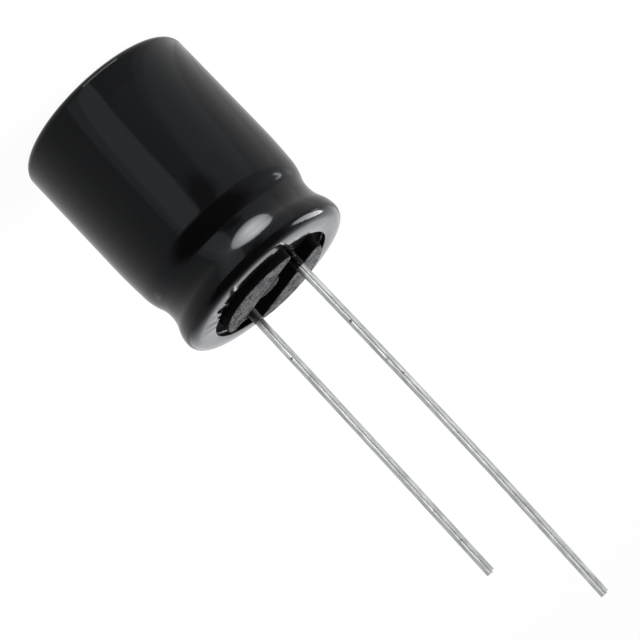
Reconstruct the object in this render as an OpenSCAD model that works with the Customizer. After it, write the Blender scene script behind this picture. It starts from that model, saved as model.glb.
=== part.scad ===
// Radial electrolytic capacitor: a drawn, beaded and curled aluminium can in a shrunk plastic
// sleeve, closed by a moulded rubber bung, with a wound foil and paper element inside, two
// aluminium tabs through the bung and a tinned wire lead welded to each.
// The can stands on its closed end. Z runs along its axis to the lead tips, the origin is on the
// axis in the plane it stands on, and X runs from the short lead to the long lead.

/* [Can] */
// Diameter of the drawn can
can_d = 12.5; // [11.5:0.25:18]
// Height of the sleeved can from the plane it stands on to the crest of its rim
body_h = 16.1; // [14:0.1:40]
// Wall of the can
can_wall = 0.3; // [0.2:0.05:0.4]
// Inner radius of the corner round the closed end
corner_r = 0.1; // [0.05:0.05:0.8]

/* [Bead and curled rim] */
// How far below the crest the wall starts to draw in
neck_drop = 6.7; // [6:0.1:9]
// How far the wall has drawn in where the bead starts
neck_in = 0.14; // [0:0.02:0.2]
// How far below the crest the middle of the bead lies
bead_drop = 2.8; // [2.6:0.05:3.2]
// Depth of the bead's floor below the can's wall
bead_depth = 0.55; // [0.3:0.05:0.8]
// Height of the straight floor of the bead
bead_floor = 1.2; // [0.8:0.05:1.4]
// Height of the bead's slope on the closed end's side
bead_entry = 1; // [0.8:0.05:1.6]
// Height of the bead's slope on the rim's side
bead_exit = 0.95; // [0.8:0.05:1.1]
// Inner radius of the bends at the bead's two edges and its floor
bead_r = 1.15; // [0.8:0.05:1.4]
// How much smaller the rim's radius is than the can's
rim_in = 0.09; // [0:0.01:0.2]
// How far the rim's top falls from its mouth to its outer edge
rim_fall = 0.14; // [0:0.02:0.2]
// Inner radius of the curl that closes over the bung
curl_r = 0.22; // [0.1:0.02:0.24]
// Radial width of the curled rim, from its outer face to the mouth inside it
curl_w = 1.44; // [1.3:0.01:1.8]
// How far the curled edge reaches down from the rim's top
curl_drop = 0.6; // [0.55:0.05:0.8]

/* [Pressure vent] */
// Length of each arm of the scored cross
score_l = 3.6; // [2:0.1:4]
// Depth of the scored lines
score_depth = 0.12; // [0.05:0.01:0.2]
// Number of scored arms
score_arms = 4; // [3, 4, 6]

/* [Sleeve] */
// Thickness of the shrunk sleeve
sleeve_t = 0.2; // [0.1:0.05:0.3]
// How far the sleeve folds in over the closed end
base_fold = 1.35; // [0.9:0.05:2]
// How far the sleeve reaches in past the curled rim
lip_over = 0.15; // [0.05:0.05:0.3]

/* [Rubber bung] */
// Thickness of the bung under its pads
bung_t = 4.5; // [4:0.25:5.5]
// Gap between the curled rim and the two raised pads
pad_gap = 0.76; // [0.5:0.02:0.9]
// How far the pads stand above the rim's crest
pad_rise = 0.42; // [0.2:0.02:1]
// Edge radius round the pads' tops
pad_round = 0.12; // [0.05:0.01:0.2]
// Distance from the middle line to the edge of the pad with the lobe
lobed_pad_y = 1.3; // [0.8:0.05:1.6]
// Distance from the middle line to the edge of the plain pad
plain_pad_y = 1.5; // [0.8:0.05:1.6]
// Radius of the lobe that reaches in between the leads
lobe_r = 1.05; // [0.8:0.05:1.3]
// How far the lobe reaches past the pad's edge
lobe_reach = 1; // [0.4:0.05:1.1]
// Sideways place of the lobe
lobe_x = 0.45; // [-0.6:0.05:0.6]
// Depth of the lead-in cone under each bore
lead_in = 0.3; // [0.1:0.05:0.5]

/* [Wound element] */
// Radial gap between the taped element and the can
roll_gap = 0.3; // [0.2:0.05:0.5]
// Gap between the element and the can's floor
floor_gap = 0.3; // [0.1:0.05:0.6]
// Room between the element and the bung
tab_room = 0.9; // [0.7:0.05:1.5]
// Radius of the hole that the winding mandrel leaves
mandrel_r = 0.9; // [0.6:0.05:1.2]
// Distance from one turn to the next
turn_pitch = 0.5; // [0.4:0.05:0.8]
// Thickness of the paper edge that shows in each turn
paper_t = 0.2; // [0.15:0.05:0.3]
// How far the papers stand past the foils at each end
paper_margin = 0.5; // [0.3:0.05:0.8]
// Thickness of the closing tape
tape_t = 0.08; // [0.05:0.01:0.12]
// Height of the closing tape
tape_h = 6.5; // [4:0.5:7]
// Angle over which the tape's end laps its start
tape_lap = 50; // [20:5:120]

/* [Tabs] */
// Diameter of a tab's round shank in the bung
shank_d = 1; // [0.9:0.05:1.3]
// How far the shank's end stands out of the bung
shank_proud = 0.15; // [0.05:0.05:0.3]
// Diameter of the weld neck at the bung's face
neck_d = 0.76; // [0.7:0.02:0.86]
// How far the weld stands out round the foot of the wire
weld_step = 0.03; // [0.01:0.01:0.05]
// Height of the weld neck above the bung's face
neck_h = 1.35; // [1:0.05:1.8]
// Thickness of a tab's flattened paddle
paddle_t = 0.25; // [0.2:0.05:0.4]
// Width of a tab's flattened paddle
paddle_w = 2; // [1.5:0.1:2.5]
// How far the paddle stops short of the element's lower end
paddle_margin = 1; // [0.5:0.1:2]
// Clearance round the paddle in the element
paddle_gap = 0.03; // [0.02:0.01:0.08]

/* [Leads] */
// Distance between the two leads
lead_pitch = 5; // [4.6:0.1:5.4]
// Diameter of the tinned wire
lead_d = 0.6; // [0.5:0.05:0.64]
// Length of the long, positive lead past the pads
long_lead = 28; // [10:0.1:35]
// Length of the short, negative lead past the pads
short_lead = 22; // [8:0.1:30]
// Chamfer at a wire's cut end
tip_chamfer = 0.04; // [0.02:0.01:0.1]
// Angle by which both leads lean off the axis
lead_lean = 0.9; // [0:0.1:1.5]
// Direction that the leads lean in, counted from X
lean_azimuth = 147.5; // [0:2.5:360]

/* [Hidden] */
$fn = 48;
arc_step = 9; // degrees between the points of a rounded corner
slack = 0.1; // how far a cutter runs past what it cuts

can_r = can_d / 2;
rim_r = can_r - rim_in;
mouth_r = rim_r - curl_w;
lip_r = mouth_r - lip_over;
pad_r = mouth_r - pad_gap;
base_open_r = can_r - base_fold;
base_z = sleeve_t;
rim_z = body_h - sleeve_t;
bead_z = body_h - bead_drop;
bung_top = rim_z - can_wall;
bung_z = bung_top - bung_t;
pad_top = body_h + pad_rise;
roll_z = base_z + can_wall + floor_gap;
roll_top = bung_z - tab_room;
roll_r = can_r - can_wall - roll_gap - 2 * tape_t;
shank_r = shank_d / 2;
lead_r = lead_d / 2;
lead_x = lead_pitch / 2;
wire_foot = bung_top + neck_h;
spiral_r = mandrel_r + paper_t;
spiral_turns = floor((roll_r - paper_t - spiral_r) / turn_pitch);

// Points of the arc that rounds corner b, between its neighbours a and c, to radius b[2]
function corner_arc(a, b, c) =
    let (
        corner = [b.x, b.y],
        back = [a.x, a.y] - corner,
        ahead = [c.x, c.y] - corner,
        u = back / norm(back),
        v = ahead / norm(ahead),
        half = acos(u * v) / 2,
        middle = corner + (u + v) / norm(u + v) * b[2] / sin(half),
        from = corner + u * b[2] / tan(half) - middle,
        to = corner + v * b[2] / tan(half) - middle,
        start = atan2(from.y, from.x),
        turn = (atan2(to.y, to.x) - start + 540) % 360 - 180,
        steps = ceil(abs(turn) / arc_step)
    )
    [for (i = [0:steps]) middle + b[2] * [cos(start + turn * i / steps), sin(start + turn * i / steps)]];

// A path through corners [radius, height, corner radius], with each corner rounded
function rounded(p) = [
    for (i = [0:len(p) - 1])
        each (p[i][2] == 0 ? [[p[i].x, p[i].y]] : corner_arc(p[i - 1], p[i], p[i + 1]))
];

function right_of(a, b) = [b.y - a.y, a.x - b.x] / norm(b - a);

// The path moved sideways by d, outwards from the can where d is positive
function moved(p, d) = [
    for (i = [0:len(p) - 1])
        let (
            before = right_of(p[max(i - 1, 0)], p[max(i, 1)]),
            after = right_of(p[min(i, len(p) - 2)], p[min(i + 1, len(p) - 1)])
        )
        p[i] + d * (before + after) / (1 + before * after)
];

// Height of the can's rim at radius r, which falls from the sleeve's lip outwards
function rim_top(r) = rim_z - rim_fall * (r - lip_r) / (rim_r - lip_r);

function reversed(p) = [for (i = [len(p) - 1:-1:0]) p[i]];

// Corners of the can's outer face from the closed end up to the rim
wall_corners = [
    [can_r, base_z, corner_r + can_wall],
    [can_r, body_h - neck_drop, bead_r + can_wall],
    [can_r - neck_in, bead_z - bead_floor / 2 - bead_entry, bead_r + can_wall],
    [can_r - bead_depth, bead_z - bead_floor / 2, bead_r],
    [can_r - bead_depth, bead_z + bead_floor / 2, bead_r],
    [rim_r, bead_z + bead_floor / 2 + bead_exit, bead_r + can_wall],
    [rim_r, rim_top(rim_r), curl_r + can_wall]
];
can_outside = rounded(concat(
    [[0, base_z, 0]],
    wall_corners,
    [[mouth_r, rim_top(mouth_r), curl_r + can_wall], [mouth_r, rim_z - curl_drop, 0]]
));
can_inside = moved(can_outside, -can_wall);
sleeve_inside = rounded(concat([[base_open_r, base_z, 0]], wall_corners, [[lip_r, rim_z, 0]]));

// Radius of the can's inner face at height z, below the bead
function bore_r(z) = lookup(z, [for (q = can_inside) if (q.x > mouth_r && q.y < bead_z) [q.y, q.x]]);

// The sleeve, shrunk tight on the can and turned in over both ends
module sleeve() {
    color("#202023")
        rotate_extrude()
            polygon(concat(sleeve_inside, reversed(moved(sleeve_inside, sleeve_t))));
}

// The can: a drawn cup with a scored vent, a bead round the bung and a rim curled into it
module can() {
    color("#d4d6d8")
        difference() {
            rotate_extrude()
                polygon(concat(can_outside, reversed(can_inside)));
            for (i = [0:score_arms - 1])
                rotate([0, 0, 45 + 360 * i / score_arms])
                    translate([0, 0, base_z])
                        score();
        }
}

// One V-shaped scored line, from the middle outwards
module score() {
    rotate([90, 0, 90])
        linear_extrude(score_l)
            polygon([[-score_depth, 0], [0, score_depth], [score_depth, 0], [0, -score_depth]]);
}

// The bung: moulded rubber that fills the bead and the curl, with two pads and two bores
module rubber_bung() {
    color("#4b4b4d")
        difference() {
            union() {
                rotate_extrude()
                    polygon(concat(
                        [[0, bung_z], [bore_r(bung_z), bung_z]],
                        [for (q = can_inside) if (q.x > mouth_r && q.y > bung_z) q],
                        [[mouth_r, rim_z - curl_drop], [mouth_r, bung_top], [0, bung_top]]
                    ));
                pad(lobed_pad_y);
                translate([lobe_x, lobed_pad_y - lobe_reach + lobe_r, 0])
                    pad_post(lobe_r);
                mirror([0, 1, 0])
                    pad(plain_pad_y);
            }
            for (x = [-lead_x, lead_x])
                translate([x, 0, 0])
                    bore();
        }
}

// A round post with the pads' height and edge
module pad_post(r) {
    rotate_extrude()
        polygon(rounded([[0, bung_top, 0], [r, bung_top, 0], [r, pad_top, pad_round], [0, pad_top, 0]]));
}

// A pad: the part of the post beyond a straight edge at distance y
module pad(y) {
    intersection() {
        pad_post(pad_r);
        translate([-pad_r, 0, 0])
            rotate([90, 0, 90])
                linear_extrude(2 * pad_r)
                    polygon(rounded([
                        [pad_r, bung_top, 0],
                        [pad_r, pad_top, 0],
                        [y, pad_top, pad_round],
                        [y, bung_top, 0]
                    ]));
    }
}

// A bore through the bung, with its lead-in cone
module bore() {
    translate([0, 0, bung_z - slack])
        cylinder(r = shank_r, h = bung_t + 2 * slack);
    translate([0, 0, bung_z - slack])
        cylinder(r1 = shank_r + lead_in + slack, r2 = shank_r, h = lead_in + slack);
}

// The element: two foils and their papers wound as one roll, with the papers' edges at its ends
module wound_element() {
    color("#b9ab8e")
        difference() {
            union() {
                translate([0, 0, roll_z + paper_margin])
                    cylinder(r = roll_r, h = roll_top - roll_z - 2 * paper_margin);
                translate([0, 0, roll_z])
                    paper_edges();
                translate([0, 0, roll_top - paper_margin])
                    paper_edges();
            }
            translate([0, 0, roll_z - slack])
                cylinder(r = mandrel_r, h = roll_top - roll_z + 2 * slack);
            for (x = [-lead_x, lead_x])
                translate([x - paddle_t / 2 - paddle_gap, -paddle_w / 2 - paddle_gap,
                    roll_z + paddle_margin - paddle_gap])
                    cube([paddle_t + 2 * paddle_gap, paddle_w + 2 * paddle_gap, roll_top]);
        }
}

// The papers' edges: a spiral of half rings, struck from two centres half a pitch apart
module paper_edges() {
    for (i = [0:spiral_turns - 1]) {
        half_ring(spiral_r + i * turn_pitch);
        translate([turn_pitch / 2, 0, 0])
            rotate([0, 0, 180])
                half_ring(spiral_r + (i + 0.5) * turn_pitch);
    }
}

module half_ring(r) {
    rotate_extrude(angle = 180)
        translate([r, 0])
            square([paper_t, paper_margin]);
}

// The tape that closes the roll, once round and lapped
module element_tape() {
    tape_z = (roll_z + roll_top - tape_h) / 2;
    color("#c9a24e")
        translate([0, 0, tape_z])
            union() {
                rotate_extrude()
                    translate([roll_r, 0])
                        square([tape_t, tape_h]);
                rotate_extrude(angle = tape_lap)
                    translate([roll_r + tape_t, 0])
                        square([tape_t, tape_h]);
            }
}

// Leans what is drawn on the Z axis, from the bung's face at lead x
module leaned(x) {
    translate([x, 0, bung_top])
        rotate([0, lead_lean * cos(lean_azimuth), 0])
            rotate([-lead_lean * sin(lean_azimuth), 0, 0])
                translate([0, 0, -bung_top])
                    children();
}

// A tab: a paddle in the roll, a round shank through the bung and a neck that the wire is welded to
module tab(x) {
    paddle_z = roll_z + paddle_margin;
    color("#c6c8ca") {
        translate([x - paddle_t / 2, -paddle_w / 2, paddle_z])
            cube([paddle_t, paddle_w, roll_top - paddle_z]);
        hull() {
            translate([x - paddle_t / 2, -paddle_w / 2, roll_top])
                cube([paddle_t, paddle_w, paddle_t]);
            translate([x, 0, bung_z - paddle_t])
                cylinder(r = shank_r, h = paddle_t);
        }
        translate([x, 0, bung_z - paddle_t])
            cylinder(r = shank_r, h = bung_t + paddle_t + shank_proud);
        leaned(x)
            translate([0, 0, bung_top])
                cylinder(r1 = neck_d / 2, r2 = lead_r + weld_step, h = neck_h);
    }
}

module positive_tab() {
    tab(lead_x);
}

module negative_tab() {
    tab(-lead_x);
}

// A lead: a straight tinned wire, butted to the weld neck
module lead_wire(x, past_pads) {
    wire_l = pad_top + past_pads - wire_foot;
    color("#dcdddf")
        leaned(x)
            translate([0, 0, wire_foot])
                rotate_extrude()
                    polygon([
                        [0, 0],
                        [lead_r, 0],
                        [lead_r, wire_l - tip_chamfer],
                        [lead_r - tip_chamfer, wire_l],
                        [0, wire_l]
                    ]);
}

module long_lead_wire() {
    lead_wire(lead_x, long_lead);
}

module short_lead_wire() {
    lead_wire(-lead_x, short_lead);
}

sleeve();
can();
rubber_bung();
wound_element();
element_tape();
positive_tab();
negative_tab();
long_lead_wire();
short_lead_wire();
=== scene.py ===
from math import acos, atan2, ceil, cos, pi, radians, sin, sqrt, tan

import bpy
from mathutils import Matrix, Vector


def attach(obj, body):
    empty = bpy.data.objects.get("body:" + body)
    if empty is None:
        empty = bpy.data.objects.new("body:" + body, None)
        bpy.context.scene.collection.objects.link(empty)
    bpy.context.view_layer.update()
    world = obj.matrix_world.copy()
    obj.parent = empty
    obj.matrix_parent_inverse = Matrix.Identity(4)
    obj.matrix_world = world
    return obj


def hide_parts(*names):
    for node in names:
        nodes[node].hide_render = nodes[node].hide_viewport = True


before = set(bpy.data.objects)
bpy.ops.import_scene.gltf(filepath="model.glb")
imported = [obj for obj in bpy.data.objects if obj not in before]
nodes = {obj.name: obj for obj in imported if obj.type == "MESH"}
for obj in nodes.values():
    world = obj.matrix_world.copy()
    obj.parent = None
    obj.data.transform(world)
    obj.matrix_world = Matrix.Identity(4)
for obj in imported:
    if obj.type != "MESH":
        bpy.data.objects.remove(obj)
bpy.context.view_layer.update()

mm = 0.001


def deselectAll():
    if bpy.context.object and bpy.context.object.mode != "OBJECT":
        bpy.ops.object.mode_set(mode="OBJECT")
    bpy.ops.object.select_all(action="DESELECT")


def activate(piece):
    deselectAll()
    piece.select_set(True)
    bpy.context.view_layer.objects.active = piece


def away(azimuth, elevation, distance):
    a, e = radians(azimuth), radians(elevation)
    return Vector((cos(a) * cos(e), sin(a) * cos(e), sin(e))) * distance


def boxOf(name):  # lowest and highest corner of a CAD node, in mm
    corners = [nodes[name].matrix_world @ Vector(c) / mm for c in nodes[name].bound_box]
    return (Vector(min(c[i] for c in corners) for i in range(3)),
            Vector(max(c[i] for c in corners) for i in range(3)))


# camera

shot = {
    "azimuth": 57.5,       # degrees, where the camera stands
    "elevation": 13.15,    # degrees above the floor
    "roll": 136.24,        # degrees, so that the leads point to the lower right
    "aim": (0.57, -0.36, 19.92),   # mm
    "distance": 186.11,    # mm
    "lens": 168.46,        # mm on a 36 mm sensor
}


def addCamera(s):
    deselectAll()
    aim = Vector(s["aim"]) * mm
    place = aim + away(s["azimuth"], s["elevation"], s["distance"] * mm)
    bpy.ops.object.camera_add(location=place)
    camera = bpy.context.object
    camera.name = "photoCamera"
    upright = (place - aim).to_track_quat("Z", "Y").to_matrix().to_4x4()
    camera.matrix_world = Matrix.Translation(place) @ upright @ Matrix.Rotation(radians(s["roll"]), 4, "Z")
    camera.data.sensor_width = 36
    camera.data.lens = s["lens"]
    camera.data.clip_start = 0.005
    camera.data.clip_end = 20
    bpy.context.scene.camera = camera


addCamera(shot)
print("camera set")


# shapes

def arcPoints(centre, radius, start, end, step=6):  # degrees
    count = max(2, ceil(abs(end - start) / step))
    return [(centre[0] + radius * cos(radians(start + (end - start) * i / count)),
             centre[1] + radius * sin(radians(start + (end - start) * i / count))) for i in range(count + 1)]


def rounded(corners, step=3):  # corners are (across, up, corner radius)
    points = []
    for i, (x, y, radius) in enumerate(corners):
        if not radius:
            points.append((x, y))
            continue
        corner = Vector((x, y))
        u = (Vector(corners[i - 1][:2]) - corner).normalized()
        v = (Vector(corners[(i + 1) % len(corners)][:2]) - corner).normalized()
        half = acos(u.dot(v)) / 2
        middle = corner + (u + v).normalized() * radius / sin(half)
        first = corner + u * radius / tan(half) - middle
        last = corner + v * radius / tan(half) - middle
        start = atan2(first.y, first.x)
        turn = (atan2(last.y, last.x) - start + 3 * pi) % (2 * pi) - pi
        count = ceil(abs(turn) / radians(step))
        points += [(middle.x + radius * cos(start + turn * n / count),
                    middle.y + radius * sin(start + turn * n / count)) for n in range(count + 1)]
    return points


def drawPath(name, points):  # an edge chain through points in mm, left in edit mode
    deselectAll()
    bpy.ops.mesh.primitive_plane_add(size=mm)
    piece = bpy.context.object
    piece.name = name
    bpy.ops.object.mode_set(mode="EDIT")
    bpy.ops.mesh.select_all(action="SELECT")
    bpy.ops.mesh.merge(type="CENTER")
    bpy.ops.transform.translate(value=Vector(points[0]) * mm)
    for before, after in zip(points, points[1:]):
        bpy.ops.mesh.extrude_region_move(
            TRANSFORM_OT_translate={"value": (Vector(after) - Vector(before)) * mm})
    bpy.ops.mesh.select_all(action="SELECT")
    return piece


def cleanUp():  # closes seams and poles, turns the faces outward
    bpy.ops.mesh.select_all(action="SELECT")
    bpy.ops.mesh.remove_doubles(threshold=0.002 * mm)
    bpy.ops.mesh.normals_make_consistent(inside=False)
    bpy.ops.object.mode_set(mode="OBJECT")


def spun(name, profile, steps):  # turns (radius, height) points round the axis
    piece = drawPath(name, [(r, 0, z) for r, z in profile])
    bpy.ops.mesh.spin(steps=steps, angle=2 * pi, center=(0, 0, 0), axis=(0, 0, 1))
    cleanUp()
    return piece


def applyModifier(piece, kind, **settings):
    activate(piece)
    modifier = piece.modifiers.new(kind.lower(), kind)
    for key, value in settings.items():
        setattr(modifier, key, value)
    bpy.ops.object.modifier_apply(modifier=modifier.name)


def joined(pieces):  # into the first one
    activate(pieces[0])
    for piece in pieces[1:]:
        piece.select_set(True)
    bpy.ops.object.join()
    return bpy.context.object


def finished(piece, material, node, smooth=35):  # smooth up to this angle, and in the CAD node's place
    activate(piece)
    bpy.ops.object.shade_smooth_by_angle(angle=radians(smooth))
    piece.data.materials.clear()
    piece.data.materials.append(material)
    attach(piece, "root")
    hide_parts(node)
    return piece


# materials

def addNode(tree, kind, inputs=(), **values):  # inputs are sockets to link or plain values
    made = tree.nodes.new(kind)
    for key, value in values.items():
        setattr(made, key, value)
    for socket, source in dict(inputs).items():
        if isinstance(source, bpy.types.NodeSocket):
            tree.links.new(source, made.inputs[socket])
        else:
            made.inputs[socket].default_value = source
    return made


def addMath(tree, operation, a, b):
    return addNode(tree, "ShaderNodeMath", {0: a, 1: b}, operation=operation).outputs[0]


class Finish:  # a material whose nodes are added and linked by short calls
    def __init__(self, name, colour, roughness, metallic=0.0):
        self.material = bpy.data.materials.new(name)
        self.material.use_nodes = True
        self.tree = self.material.node_tree
        self.shader = self.tree.nodes["Principled BSDF"]
        self.set("Base Color", (*colour, 1))
        self.set("Roughness", roughness)
        self.set("Metallic", metallic)
        self.place = self.node("ShaderNodeTexCoord").outputs["Object"]

    def node(self, kind, inputs=(), **values):
        return addNode(self.tree, kind, inputs, **values)

    def set(self, socket, value):
        if isinstance(value, bpy.types.NodeSocket):
            self.tree.links.new(value, self.shader.inputs[socket])
        else:
            self.shader.inputs[socket].default_value = value

    def math(self, operation, a, b=0.0):
        return addMath(self.tree, operation, a, b)

    def scaled(self, scale):  # the object coordinates, scaled
        return self.node("ShaderNodeMapping", {"Vector": self.place, "Scale": scale}).outputs[0]

    def noise(self, scale, detail=2.0, roughness=0.5, stretch=(1, 1, 1)):  # scale counts per metre
        return self.node("ShaderNodeTexNoise", {
            "Vector": self.scaled(stretch), "Scale": scale, "Detail": detail, "Roughness": roughness,
        }).outputs[0]

    def ramp(self, value, low, high, out0=0.0, out1=1.0):  # clamped
        return self.node("ShaderNodeMapRange", {
            "Value": value, "From Min": low, "From Max": high, "To Min": out0, "To Max": out1}).outputs[0]

    def blend(self, share, first, second):  # colours
        first, second = [c if isinstance(c, bpy.types.NodeSocket) else (*c, 1) for c in (first, second)]
        return self.node("ShaderNodeMix", {0: share, 6: first, 7: second}, data_type="RGBA").outputs[2]

    def bump(self, height, depth):  # depth in mm
        self.set("Normal", self.node("ShaderNodeBump", {"Distance": depth * mm, "Height": height}).outputs[0])

    def axis(self, letter):  # one object coordinate, in mm
        split = self.node("ShaderNodeSeparateXYZ", {0: self.place})
        return self.math("DIVIDE", split.outputs[letter], mm)

    def upward(self):  # 1 where the surface faces up, 0 where it is upright
        normal = self.node("ShaderNodeNewGeometry").outputs["Normal"]
        return self.node("ShaderNodeSeparateXYZ", {0: normal}).outputs["Z"]


stripe = {                 # mm, the polarity stripe on the side of the short lead
    "halfWidth": 2.3,
    "top": 15.3,
    "spacing": 3.4,        # of the minus marks
    "markHalfWidth": 0.9,
    "markShare": 0.09,     # half the marks' height, as a share of their spacing
    "ink": ((0.2, 0.21, 0.26), (0.24, 0.25, 0.3)),
}


def addStripe(f, s, black):  # prints the stripe on the black film
    across = f.math("ABSOLUTE", f.axis("Y"))
    beside = f.math("LESS_THAN", f.axis("X"), 0)
    below = f.math("LESS_THAN", f.axis("Z"), s["top"])
    band = f.math("MULTIPLY", f.math("MULTIPLY", beside, below), f.math("LESS_THAN", across, s["halfWidth"]))
    repeat = f.math("FRACT", f.math("DIVIDE", f.axis("Z"), s["spacing"]))
    along = f.math("ABSOLUTE", f.math("SUBTRACT", repeat, 0.5))
    minus = f.math("MULTIPLY", f.math("LESS_THAN", across, s["markHalfWidth"]),
                   f.math("LESS_THAN", along, s["markShare"]))
    printed = f.math("MULTIPLY", band, f.math("SUBTRACT", 1, minus))
    f.set("Base Color", f.blend(printed, black, f.blend(f.noise(700, 2), *s["ink"])))


def makeSleeveFilm():
    black = (0.003, 0.003, 0.0034)
    f = Finish("sleeveFilm", black, 0.12)
    f.set("Specular Tint", (0.26, 0.276, 0.288, 1))
    addStripe(f, stripe, black)
    waves = f.math("MULTIPLY", f.noise(260, 1), 0.5)
    crinkles = f.math("MULTIPLY", f.noise(1100, 2), f.ramp(f.axis("Z"), 14.6, 15.6, 0, 1.5))   # on the rim
    streaks = f.math("MULTIPLY", f.noise(700, 2, 0.5, (1, 1, 9)), 0.04)
    f.bump(f.math("ADD", f.math("ADD", waves, crinkles), streaks), 0.01)
    return f.material


def makeBungRubber():
    black = (0.005, 0.005, 0.005)
    f = Finish("bungRubber", black, 0.7)
    f.set("Specular IOR Level", 0.03)
    grain = f.noise(8000, 3, 0.85)
    patches = f.noise(1500, 2)
    speckle = f.ramp(f.math("ADD", grain, f.math("MULTIPLY", patches, 0.3)), 0.6, 0.72)
    top = f.blend(speckle, (0.02, 0.02, 0.021), (0.19, 0.195, 0.2))
    # painted light and shade: the rubber's speckled grain goes only on raised faces that point up, so the
    # pads' sides and the channel stay black
    upward = f.ramp(f.upward(), 0.35, 1)
    paintedLobeShade = f.ramp(f.axis("Z"), 16.485, 16.5, 0.4, 1)   # painted shade: the lobe's top is darker and less speckled, standing in for the shade of its rounded dome
    paintedLitTops = f.math("MULTIPLY", f.math("GREATER_THAN", f.axis("Z"), 15.9), f.math("POWER", upward, 2))
    paintedLitTops = f.math("MULTIPLY", paintedLitTops, paintedLobeShade)
    f.set("Base Color", f.blend(paintedLitTops, black, top))
    f.bump(grain, 0.03)
    return f.material


def makeCanMetal():
    f = Finish("canMetal", (0.62, 0.63, 0.65), 0.32, 1.0)
    bare = f.blend(f.noise(900, 3), (0.5, 0.51, 0.53), (0.72, 0.73, 0.75))
    paintedShadeCurl = f.blend(f.ramp(f.noise(1300, 2), 0.58, 0.64), (0.04, 0.04, 0.04), (0.6, 0.6, 0.6))
    f.set("Base Color", f.blend(f.ramp(f.axis("Z"), 14.9, 15.1), bare, paintedShadeCurl))   # painted shade: the curl in the mouth, above 15 mm, is near-black with bare patches
    return f.material


wireNicks = (              # place in mm, darkness
    (2.55, 0.31, 21.68, 1), (2.54, 0.32, 25, 0.5), (2.67, 0.23, 26.3, 0.6),
    (-2.49, 0.35, 20.2, 0.9), (-2.49, 0.35, 21.9, 0.4), (-2.58, 0.4, 33.39, 0.4), (-2.61, 0.42, 35.81, 0.4))


def makeLeadTin():
    f = Finish("leadTin", (0.6, 0.62, 0.61), 0.26, 1.0)
    scuffs = f.ramp(f.noise(4200, 4, 0.65, (1, 1, 0.2)), 0.38, 0.64)
    tin = f.blend(scuffs, (0.42, 0.44, 0.42), (0.7, 0.72, 0.71))
    nicks = 0
    for *place, depth in wireNicks:
        apart = f.node("ShaderNodeVectorMath", {0: f.place, 1: Vector(place) * mm}, operation="DISTANCE")
        nicks = f.math("MAXIMUM", nicks, f.ramp(apart.outputs["Value"], 0.13 * mm, 0.06 * mm, 0, depth))
    tin = f.blend(nicks, tin, (0.08, 0.08, 0.07))
    tin = f.blend(f.ramp(f.upward(), 0.3, 0.6), tin, (0.16, 0.16, 0.15))   # dull cut ends
    stained = f.ramp(f.math("ADD", f.axis("Z"), f.noise(1500, 2)), 17.3, 18.2)   # near the bung
    f.set("Base Color", f.blend(stained, (0.25, 0.25, 0.24), tin))
    dents = f.math("MULTIPLY", f.noise(450, 2, 0.5), 2.5)
    f.bump(f.math("ADD", f.noise(2600, 3, 0.6, (1, 1, 0.3)), dents), 0.012)
    return f.material


def makeTabMetal():
    f = Finish("tabMetal", (0.4, 0.4, 0.4), 0.45, 1.0)
    flecks = f.ramp(f.noise(4200, 2, 0.6), 0.62, 0.7)
    residue = f.blend(flecks, (0.02, 0.02, 0.02), (0.4, 0.4, 0.39))
    neck = f.blend(f.ramp(f.axis("X"), -0.1, 0.1), (0.14, 0.14, 0.135), residue)   # stained at +X
    f.set("Base Color", f.blend(f.ramp(f.axis("Z"), 15.55, 15.65), (0.42, 0.42, 0.42), neck))
    return f.material


def makePaper():
    f = Finish("paper", (0.5, 0.42, 0.3), 0.8)
    f.set("Base Color", f.blend(f.noise(3000, 3), (0.44, 0.37, 0.26), (0.58, 0.5, 0.37)))
    return f.material


def makeTape():
    f = Finish("tape", (0.5, 0.3, 0.08), 0.35)
    f.set("Base Color", f.blend(f.noise(500, 2), (0.44, 0.26, 0.07), (0.56, 0.35, 0.1)))
    return f.material


sleeveFilm = makeSleeveFilm()
bungRubber = makeBungRubber()
canMetal = makeCanMetal()
leadTin = makeLeadTin()
tabMetal = makeTabMetal()
paper = makePaper()
tape = makeTape()

for name, material in {
    "can": canMetal, "wound_element": paper, "element_tape": tape,
    "positive_tab": tabMetal, "negative_tab": tabMetal,
}.items():
    nodes[name].data.materials.clear()
    nodes[name].data.materials.append(material)
print("materials done")


# sleeve

film = {
    "thickness": 0.2,      # mm
    "turns": 160,          # facets round the can
    "corners": (           # mm in from the can's wall, height, corner radius, all on the can's side
        (1.35, 0.2, 0), (0, 0.2, 0.4), (0, 9.4, 30), (0.14, 11.7, 3.4), (0.55, 12.7, 2.3),
        (0.55, 13.9, 2.6), (0.09, 14.85, 1.85), (0.09, 15.76, 0.52), (1.68, 15.9, 0)),
    "edge": 0.03,          # mm, rounding of its two cut edges
    "lip": 4.65,           # mm, radius within which the cut edge in the mouth is ragged
    "ragged": ((108, 18, 0.035), (38, 4, 0.02), (77, 3, 0.02)),   # azimuth, degrees to each side, mm
}


def addSleeve(s):
    wall = boxOf("sleeve")[1].x - s["thickness"]
    profile = rounded([(wall - inward, z, r) for inward, z, r in s["corners"]])
    piece = spun("sleeveFilm", profile, s["turns"])
    applyModifier(piece, "SOLIDIFY", thickness=s["thickness"] * mm, offset=1, use_even_offset=True)
    applyModifier(piece, "BEVEL", width=s["edge"] * mm, segments=2,
                  limit_method="ANGLE", angle_limit=radians(60))
    for azimuth, span, offset in s["ragged"]:
        raggedLip(s, piece, azimuth, span, offset)
    return finished(piece, sleeveFilm, "sleeve")


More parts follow.
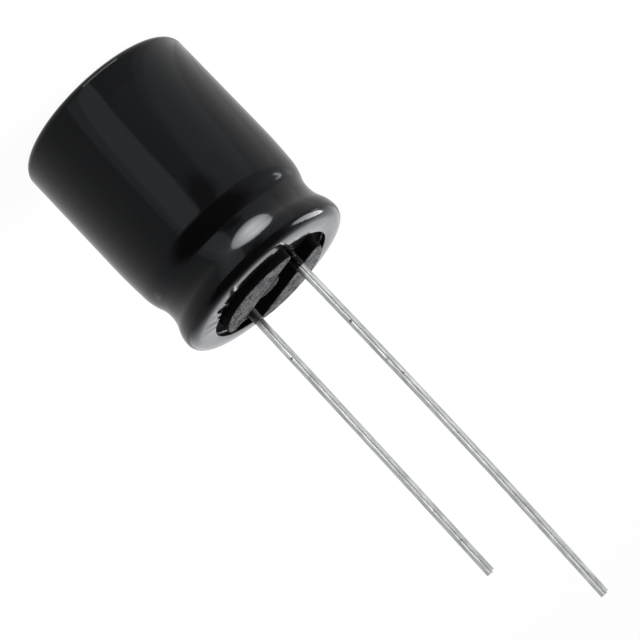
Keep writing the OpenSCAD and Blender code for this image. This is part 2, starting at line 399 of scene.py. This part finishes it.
def raggedLip(s, piece, azimuth, span, offset):  # shifts the lip's points within a span of azimuths
    activate(piece)
    bpy.ops.object.mode_set(mode="EDIT")
    bpy.ops.mesh.select_all(action="DESELECT")
    bpy.ops.object.mode_set(mode="OBJECT")
    towards = away(azimuth, 0, 1)
    for vertex in piece.data.vertices:
        place = Vector((vertex.co.x, vertex.co.y, 0))
        vertex.select = (vertex.co.z > 15 * mm and place.length < s["lip"] * mm
                         and place.normalized().dot(towards) >= cos(radians(span)))
    bpy.ops.object.mode_set(mode="EDIT")
    bpy.ops.transform.vertex_random(offset=offset * mm, seed=4)
    bpy.ops.object.mode_set(mode="OBJECT")


addSleeve(film)
print("sleeve done")


# bung

bung = {
    "face": 15.6,          # mm, height of the face between the pads
    "padR": 3.96,          # mm
    "round": 0.12,         # mm, edge of the pads' tops
    "lobedY": 1.3,         # mm from the middle line to the edge of the pad with the lobe
    "plainY": 1.5,         # mm from the middle line to the edge of the plain pad
    "lobe": (0.45, 1.35, 1.05),   # mm, centre and radius
    "lobeDrop": 0.04,      # mm, how far the lobe's smoother top stays under the pad's
    "lobeRound": 0.14,     # mm, edge of the lobe's top
    "corner": 0.45,        # mm, rounding of the pads' ends
    "boreR": 0.5,          # mm
    "boreX": 2.5,          # mm
    "drill": (13, 10),     # mm, middle height and length of what cuts a bore
    "turns": 96,           # facets round the skirt
    "skirt": (             # mm, radius and height of the part under the curled rim
        (0, 11.1), (5.9, 11.1), (5.86, 11.8), (5.5, 12.5), (5.4, 12.9), (5.4, 13.6), (5.5, 14), (5.7, 14.5),
        (5.7, 15.4), (5.05, 15.45), (4.9, 15.3), (4.72, 15.3), (4.72, 15.6), (0, 15.6)),
}


def padOutline(s, edgeY):  # a segment of a disc with rounded ends
    r = s["corner"]
    y = edgeY + r
    x = sqrt((s["padR"] - r) ** 2 - y ** 2)
    turn = atan2(y, x) * 180 / pi
    return (arcPoints((x, y), r, -90, turn, 12) + arcPoints((0, 0), s["padR"], turn, 180 - turn, 3)[1:]
            + arcPoints((-x, y), r, 180 - turn, 270, 12)[1:])


def addRaised(s, name, outline, side, top, rounding):  # a block on the bung's face, up to its top
    low = s["face"] - 0.1
    piece = drawPath(name, [(x, side * y, low) for x, y in outline])
    bpy.ops.mesh.edge_face_add()
    bpy.ops.mesh.extrude_region_move(TRANSFORM_OT_translate={"value": (0, 0, (top - low) * mm)})
    bpy.ops.mesh.region_to_loop()
    bpy.ops.mesh.bevel(offset=rounding * mm, segments=4, affect="EDGES")
    cleanUp()
    return piece


def addBung(s):
    top = boxOf("rubber_bung")[1].z
    body = spun("bungBody", s["skirt"], s["turns"])
    drillZ, drillLength = s["drill"]
    for x in (-s["boreX"], s["boreX"]):
        deselectAll()
        bpy.ops.mesh.primitive_cylinder_add(vertices=32, radius=s["boreR"] * mm, depth=drillLength * mm,
                                            location=(x * mm, 0, drillZ * mm))
        drill = bpy.context.object
        applyModifier(body, "BOOLEAN", operation="DIFFERENCE", object=drill, solver="EXACT")
        activate(drill)
        bpy.ops.object.delete()
    x, y, radius = s["lobe"]
    piece = joined([
        body,
        addRaised(s, "lobedPad", padOutline(s, s["lobedY"]), 1, top, s["round"]),
        addRaised(s, "plainPad", padOutline(s, s["plainY"]), -1, top, s["round"]),
        addRaised(s, "lobe", arcPoints((x, y), radius, 180, 360, 8), 1, top - s["lobeDrop"], s["lobeRound"]),
    ])
    piece.name = "rubberBung"
    return finished(piece, bungRubber, "rubber_bung", 40)


addBung(bung)
print("bung done")


# leads

leads = {
    "radius": 0.3,         # mm
    "neckHeight": 1.35,    # mm from the bung's face to the foot of the wire
    "lean": 0.9,           # degrees
    "leanAzimuth": 147.5,  # degrees
    "bowAzimuth": -32.5,   # degrees, where the wires' slight bow is out to
    "wires": {             # x in mm, bow in mm
        "long_lead_wire": (2.5, 0.13),
        "short_lead_wire": (-2.5, 0.02),
    },
    "sides": 32,
    "rings": 28,           # steps along the bow
    "chamfer": 0.015,      # mm
}


def addLead(s, node, x, bow):
    axis = away(s["leanAzimuth"], 90 - s["lean"], 1)
    foot = Vector((x, 0, bung["face"])) + axis * s["neckHeight"]
    length = (boxOf(node)[1].z - foot.z) / axis.z
    sideways = away(s["bowAzimuth"], 0, 1)
    path = [foot + axis * length * n / s["rings"] + sideways * bow * sin(pi * n / s["rings"])
            for n in range(s["rings"] + 1)]
    deselectAll()
    bpy.ops.mesh.primitive_circle_add(vertices=s["sides"], radius=s["radius"] * mm, fill_type="NGON")
    piece = bpy.context.object
    piece.name = node.replace("_lead_wire", "Lead")
    bpy.ops.object.mode_set(mode="EDIT")
    bpy.ops.mesh.select_all(action="SELECT")
    bpy.ops.transform.translate(value=foot * mm)
    for before, after in zip(path, path[1:]):
        bpy.ops.mesh.extrude_region_move(TRANSFORM_OT_translate={"value": (after - before) * mm})
    bpy.ops.mesh.region_to_loop()
    bpy.ops.mesh.bevel(offset=s["chamfer"] * mm, segments=2, affect="EDGES")
    cleanUp()
    return finished(piece, leadTin, node, 20)


for node, (x, bow) in leads["wires"].items():
    addLead(leads, node, x, bow)
print("leads done")


# stage

studio = {
    "floorSize": 6,        # m
    "floorGap": 0.02,      # mm under the closed end
    "whiten": 0.96,        # how far the floor turns plain white to the camera
    "floorShine": 0.7,     # brightness of the floor in reflections
    "fill": 0.55,          # strength of the world's light
    "room": (              # brightness in reflections: azimuth, elevation, degrees from it, values there
        (62, 42, (46, 66), (0.03, 0.7)),    # the dark ceiling in front, paling to the walls
        (237.5, 15, (30, 60), (0.95, 0))),  # and the brighter wall behind
    "roomTint": (0.96, 0.97, 1),
    "cards": {             # brightness, corners in mm on the floor; seen only in reflections
        "frontCard": (1.8, ((3.9, 5.25), (6.7, 8.4), (24, 34), (230, 402), (23, 450), (3.6, 6.8))),
        "frontCardEdge": (1.25, ((3.6, 6.8), (23, 450), (-35, 450), (2.2, 7.2))),
        "darkCard": (0.25, ((33, 44), (32, 29), (40, 25.5), (62, 24), (392, 263), (234, 408))),
        "rightCardEdge": (0.95, ((6.8, 1.2), (10, 1), (380, 272), (392, 256), (7, -0.6))),
        "rightCard": (1.2, ((7, -0.6), (392, 256), (450, -130), (6, -4.2))),
        "farRightCard": (0.9, ((6, -4.2), (450, -130), (300, -450), (4.2, -6))),
    },
    "lampAim": (0, 0, 12),   # mm
    "lamps": {             # azimuth, elevation, distance mm, width mm, height mm, glow, spread
        "rightSoftbox": (-46, 31, 400, 400, 190, 14, 180),
        "rightSpot": (-50.5, 8.6, 400, 100, 14, 8, 180),
    },
    "beadLamp": ((3.1, 3.2, 13), (22, -53), 10, 11, 10.5, 2.9, 60),   # aim in mm, then as for the others
    "edgeCard": (8, 6.6, 6.78, 30, 57),   # brightness, radii in mm, azimuths: lights the closed end's edge
}


def plainMaterial(name):  # with an empty node tree
    material = bpy.data.materials.new(name)
    material.use_nodes = True
    material.node_tree.nodes.clear()
    return material


def addWorld(s):
    world = bpy.data.worlds.new("studioWorld")
    bpy.context.scene.world = world
    world.use_nodes = True
    tree = world.node_tree
    tree.nodes.clear()
    path = addNode(tree, "ShaderNodeLightPath").outputs
    place = addNode(tree, "ShaderNodeTexCoord").outputs["Generated"]
    shades = []
    for azimuth, elevation, edge, values in s["room"]:
        facing = addNode(tree, "ShaderNodeVectorMath", {0: place, 1: away(azimuth, elevation, 1)},
                         operation="DOT_PRODUCT").outputs["Value"]
        limits = [cos(radians(angle)) for angle in edge]
        shades.append(addNode(tree, "ShaderNodeMapRange", {
            "Value": facing, "From Min": limits[0], "From Max": limits[1],
            "To Min": values[0], "To Max": values[1]}).outputs[0])
    both = addMath(tree, "ADD", *shades)
    light = addNode(tree, "ShaderNodeBackground", {"Color": (1, 1, 1, 1), "Strength": s["fill"]})
    mirrored = addNode(tree, "ShaderNodeBackground", {"Color": (*s["roomTint"], 1), "Strength": both})
    white = addNode(tree, "ShaderNodeBackground", {"Color": (1, 1, 1, 1)})
    seen = addNode(tree, "ShaderNodeMixShader", {
        0: path["Is Glossy Ray"], 1: light.outputs[0], 2: mirrored.outputs[0]})
    plain = addMath(tree, "MAXIMUM", path["Is Camera Ray"], path["Is Transmission Ray"])
    mix = addNode(tree, "ShaderNodeMixShader", {0: plain, 1: seen.outputs[0], 2: white.outputs[0]})
    addNode(tree, "ShaderNodeOutputWorld", {0: mix.outputs[0]})


def addFloor(s):
    deselectAll()
    bpy.ops.mesh.primitive_plane_add(size=s["floorSize"], location=(0, 0, -s["floorGap"] * mm))
    floor = bpy.context.object
    floor.name = "paleFloor"
    material = plainMaterial("floorPaper")
    tree = material.node_tree
    path = addNode(tree, "ShaderNodeLightPath").outputs
    card = addNode(tree, "ShaderNodeBsdfDiffuse", {"Color": (0.85, 0.85, 0.85, 1)})
    shine = addNode(tree, "ShaderNodeMapRange", {
        "Value": path["Is Glossy Ray"], "To Min": 1, "To Max": s["floorShine"]})
    white = addNode(tree, "ShaderNodeEmission", {"Strength": shine.outputs[0]})
    seen = addMath(tree, "MAXIMUM", path["Is Camera Ray"], path["Is Glossy Ray"])
    seen = addMath(tree, "MAXIMUM", seen, path["Is Transmission Ray"])
    share = addMath(tree, "MULTIPLY", seen, s["whiten"])
    mix = addNode(tree, "ShaderNodeMixShader", {0: share, 1: card.outputs[0], 2: white.outputs[0]})
    addNode(tree, "ShaderNodeOutputMaterial", {0: mix.outputs[0]})
    floor.data.materials.append(material)


def addCards(s):
    for name, (glow, corners) in s["cards"].items():
        addCard(s, name, glow, corners)
    glow, inner, outer, start, end = s["edgeCard"]
    addCard(s, "edgeCard", glow, arcPoints((0, 0), inner, start, end) + arcPoints((0, 0), outer, end, start))


def addCard(s, name, glow, corners):
    card = drawPath(name, [(x, y, -s["floorGap"] / 2) for x, y in corners])
    bpy.ops.mesh.edge_face_add()
    bpy.ops.object.mode_set(mode="OBJECT")
    material = plainMaterial(name)
    light = addNode(material.node_tree, "ShaderNodeEmission", {"Strength": glow})
    addNode(material.node_tree, "ShaderNodeOutputMaterial", {0: light.outputs[0]})
    card.data.materials.append(material)
    for kind in ("camera", "diffuse", "shadow", "transmission"):
        setattr(card, "visible_" + kind, False)


def addLamp(name, aim, azimuth, elevation, distance, width, height, glow, spread, diffuse=True):
    aim = Vector(aim) * mm
    place = aim + away(azimuth, elevation, distance * mm)
    bpy.ops.object.light_add(type="AREA", location=place)
    lamp = bpy.context.object
    lamp.name = name
    lamp.matrix_world = Matrix.Translation(place) @ (place - aim).to_track_quat("Z", "Y").to_matrix().to_4x4()
    lamp.visible_camera = False
    lamp.visible_diffuse = diffuse
    lamp.data.shape = "ELLIPSE"
    lamp.data.size = width * mm
    lamp.data.size_y = height * mm
    lamp.data.spread = radians(spread)
    lamp.data.energy = glow * pi * pi / 4 * width * height * mm * mm   # as bright at any size


def addLamps(s):
    for name, values in s["lamps"].items():
        addLamp(name, s["lampAim"], *values)
    aim, (azimuth, elevation), *values = s["beadLamp"]
    addLamp("beadLamp", aim, azimuth, elevation, *values, diffuse=False)


addWorld(studio)
addFloor(studio)
addCards(studio)
addLamps(studio)
bpy.context.scene.view_settings.view_transform = "Standard"
print("stage set")
